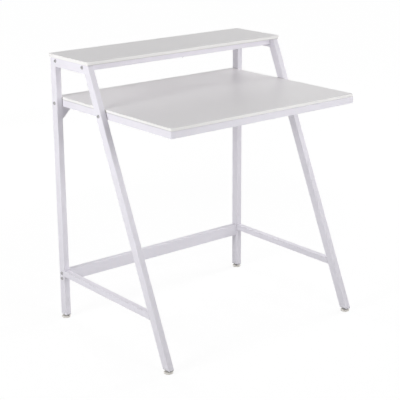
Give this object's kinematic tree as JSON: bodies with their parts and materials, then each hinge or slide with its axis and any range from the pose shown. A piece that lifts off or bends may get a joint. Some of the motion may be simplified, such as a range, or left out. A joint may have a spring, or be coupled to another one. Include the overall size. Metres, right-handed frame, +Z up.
{
  "type": "ladder desk",
  "caption": "Ladder-style writing desk: slanted front legs and upright rear legs of square-edged steel tube carry a desktop and a narrow raised shelf, on levelling feet.",
  "frame": {"origin": "on the floor, at the middle of the desk's outline", "axes": "+X to the right of a person at the desk, +Y to its back, +Z up"},
  "size_m": [0.792, 0.6032, 0.9],
  "materials": {
    "powder_coat": "satin white powder coat with a cool tint",
    "laminate": "satin white laminate on fibreboard",
    "edge_band": "white plastic edge band",
    "zinc_steel": "zinc-plated steel",
    "plug_plastic": "dark moulded plastic",
    "pad_plastic": "pale beige moulded plastic"
  },
  "bodies": {
    "frame": {"crossbar_bolts": "zinc_steel", "crossbar_end_plate_left": "zinc_steel", "crossbar_end_plate_right": "zinc_steel", "desk_board": "laminate", "desk_bolts": "zinc_steel", "desk_edge_band": "edge_band", "desk_rail_front": "powder_coat", "desk_rail_left": "powder_coat", "desk_rail_middle": "powder_coat", "desk_rail_rear": "powder_coat", "desk_rail_right": "powder_coat", "desk_screws": "zinc_steel", "front_leg_left": "powder_coat", "front_leg_right": "powder_coat", "gusset_left": "powder_coat", "gusset_right": "powder_coat", "leg_plug_front_left": "plug_plastic", "leg_plug_front_right": "plug_plastic", "leg_plug_rear_left": "plug_plastic", "leg_plug_rear_right": "plug_plastic", "low_rail_left": "powder_coat", "low_rail_right": "powder_coat", "rear_crossbar": "powder_coat", "rear_leg_left": "powder_coat", "rear_leg_right": "powder_coat", "rivet_nuts": "zinc_steel", "shelf_board": "laminate", "shelf_bolts": "zinc_steel", "shelf_centre_screws": "zinc_steel", "shelf_edge_band": "edge_band", "shelf_end_plate_front_left": "zinc_steel", "shelf_end_plate_front_right": "zinc_steel", "shelf_end_plate_rear_left": "zinc_steel", "shelf_end_plate_rear_right": "zinc_steel", "shelf_end_screws": "zinc_steel", "shelf_rail_front": "powder_coat", "shelf_rail_rear": "powder_coat", "top_rail_left": "powder_coat", "top_rail_right": "powder_coat"},
    "foot_rear_left": {"foot_pad_rear_left": "pad_plastic", "foot_stem_rear_left": "zinc_steel"},
    "foot_rear_right": {"foot_pad_rear_right": "pad_plastic", "foot_stem_rear_right": "zinc_steel"},
    "foot_front_left": {"foot_pad_front_left": "pad_plastic", "foot_stem_front_left": "zinc_steel"},
    "foot_front_right": {"foot_pad_front_right": "pad_plastic", "foot_stem_front_right": "zinc_steel"}
  },
  "joints": [
    {"name": "foot_rear_left_screw", "type": "slide", "parent": "frame", "child": "foot_rear_left", "axis": [0, 0, -1], "range_m": [-0.003, 0.01]},
    {"name": "foot_rear_right_screw", "type": "slide", "parent": "frame", "child": "foot_rear_right", "axis": [0, 0, -1], "range_m": [-0.003, 0.01]},
    {"name": "foot_front_left_screw", "type": "slide", "parent": "frame", "child": "foot_front_left", "axis": [0, 0, -1], "range_m": [-0.003, 0.01]},
    {"name": "foot_front_right_screw", "type": "slide", "parent": "frame", "child": "foot_front_right", "axis": [0, 0, -1], "range_m": [-0.003, 0.01]}
  ]
}
